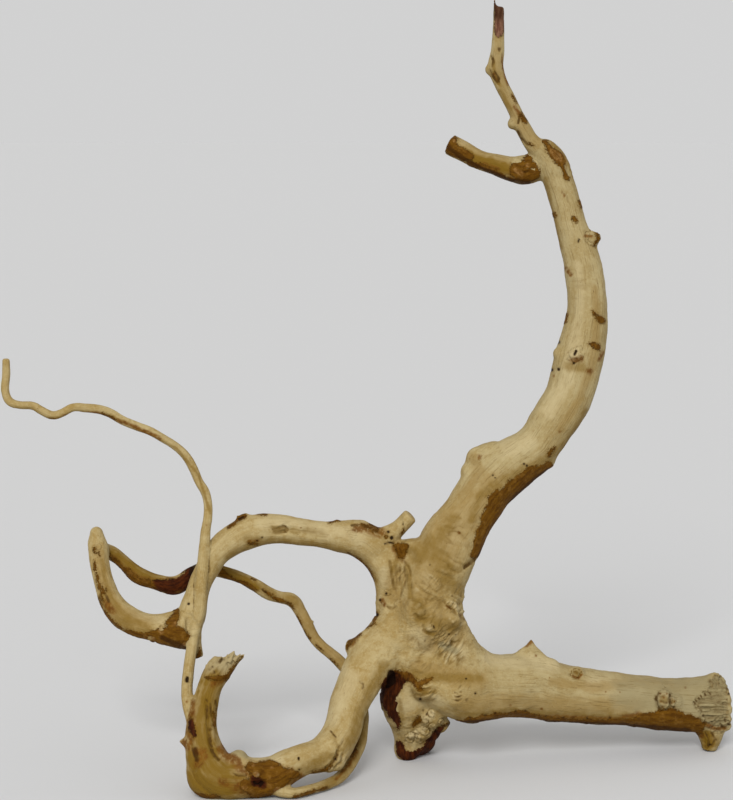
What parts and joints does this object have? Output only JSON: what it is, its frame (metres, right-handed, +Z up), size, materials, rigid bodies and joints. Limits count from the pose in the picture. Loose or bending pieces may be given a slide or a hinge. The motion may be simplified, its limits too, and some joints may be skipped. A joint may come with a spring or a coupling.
{
  "type": "piece of driftwood",
  "caption": "Branching piece of bare root driftwood that stands on its elbow, burl and stub, with a tall limb, a torn side limb, a hooked root and a long thin whisker.",
  "frame": {"origin": "middle of the piece's box, on the surface that it stands on", "axes": "+Z up along the tall limb, the longest extent; +Y away from the viewer, the shortest extent; +X to the viewer's right, towards the torn limb"},
  "size_m": [0.457, 0.1582, 0.4754],
  "materials": {
    "wood": "bare weathered wood, smooth and satin, with dark bark remnants"
  },
  "bodies": {
    "root": {"driftwood": "wood"}
  },
  "joints": []
}
